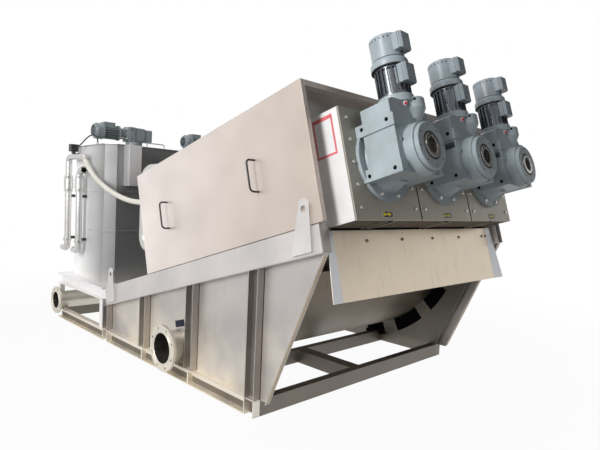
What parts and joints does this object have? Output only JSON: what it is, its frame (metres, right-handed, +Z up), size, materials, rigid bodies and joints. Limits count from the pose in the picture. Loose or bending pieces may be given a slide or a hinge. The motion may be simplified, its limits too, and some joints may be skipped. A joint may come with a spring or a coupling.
{
  "type": "screw press dewaterer",
  "caption": "Inclined multi-disc screw press for sludge: covered screws over a filtrate trough on a skid, with drive units, discharge chute and flocculation tank.",
  "frame": {"origin": "middle of the skid's footprint, on the ground, at the underside of the middle cross member", "axes": "+X along the machine towards the drive end, -Y towards the side with the flanged outlet, +Z up"},
  "size_m": [4.0313, 2.265, 2.2149],
  "materials": {
    "frame_steel": "satin, glass-bead blasted",
    "cover_sheet": "satin, 2B rolled",
    "drive_box_sheet": "satin",
    "tank_sheet": "satin",
    "pipework": "bright",
    "handle_bar": "polished",
    "drive_paint": "semi-gloss blue-grey",
    "motor_body": "semi-gloss blue-grey",
    "agitator_paint": "semi-gloss blue-grey",
    "shaft_steel": "machined",
    "valve_plastic": "black",
    "cable_rubber": "black",
    "hose_rubber": "pale braided hose"
  },
  "bodies": {
    "frame": {"agitator_drive_1": "agitator_paint", "agitator_drive_2": "agitator_paint", "cover_end_plate": "cover_sheet", "cover_handles": "handle_bar", "cover_tail_plate": "cover_sheet", "discharge_chute": "drive_box_sheet", "drive_box": "drive_box_sheet", "drive_plates": "drive_box_sheet", "fan_cowl_1": "drive_paint", "fan_cowl_2": "drive_paint", "fan_cowl_3": "drive_paint", "far_cover": "cover_sheet", "far_rail": "frame_steel", "far_side_wall": "frame_steel", "far_trough_plate": "frame_steel", "flocculation_tank": "tank_sheet", "gearbox_1": "drive_paint", "gearbox_2": "drive_paint", "gearbox_3": "drive_paint", "inlet_pipe": "pipework", "lifting_lugs": "frame_steel", "loop_pipe": "pipework", "motor_1": "motor_body", "motor_2": "motor_body", "motor_3": "motor_body", "near_cover": "cover_sheet", "near_rail": "frame_steel", "near_side_wall": "frame_steel", "near_trough_plate": "frame_steel", "outlet_pipe": "pipework", "overflow_box": "tank_sheet", "platform_beams": "frame_steel", "platform_deck": "frame_steel", "riser_pipes": "pipework", "side_posts": "frame_steel", "skid_cross_members": "frame_steel", "skid_far_beam": "frame_steel", "skid_near_beam": "frame_steel", "solenoid_valve": "valve_plastic", "tank_lid": "tank_sheet", "top_cover": "cover_sheet", "trough_pan": "frame_steel", "valve_cable": "cable_rubber", "wash_hose": "hose_rubber"},
    "screw_1": {"screw_shaft_1": "shaft_steel"},
    "screw_2": {"screw_shaft_2": "shaft_steel"},
    "screw_3": {"screw_shaft_3": "shaft_steel"}
  },
  "joints": [
    {"name": "screw_spin_1", "type": "hinge", "parent": "frame", "child": "screw_1", "pos_m": [2.3921, -0.61, 1.59951], "axis": [0.9622, 0, 0.2723], "continuous": true},
    {"name": "screw_spin_2", "type": "hinge", "parent": "frame", "child": "screw_2", "pos_m": [2.3921, 0, 1.59951], "axis": [0.9622, 0, 0.2723], "continuous": true},
    {"name": "screw_spin_3", "type": "hinge", "parent": "frame", "child": "screw_3", "pos_m": [2.3921, 0.61, 1.59951], "axis": [0.9622, 0, 0.2723], "continuous": true}
  ]
}
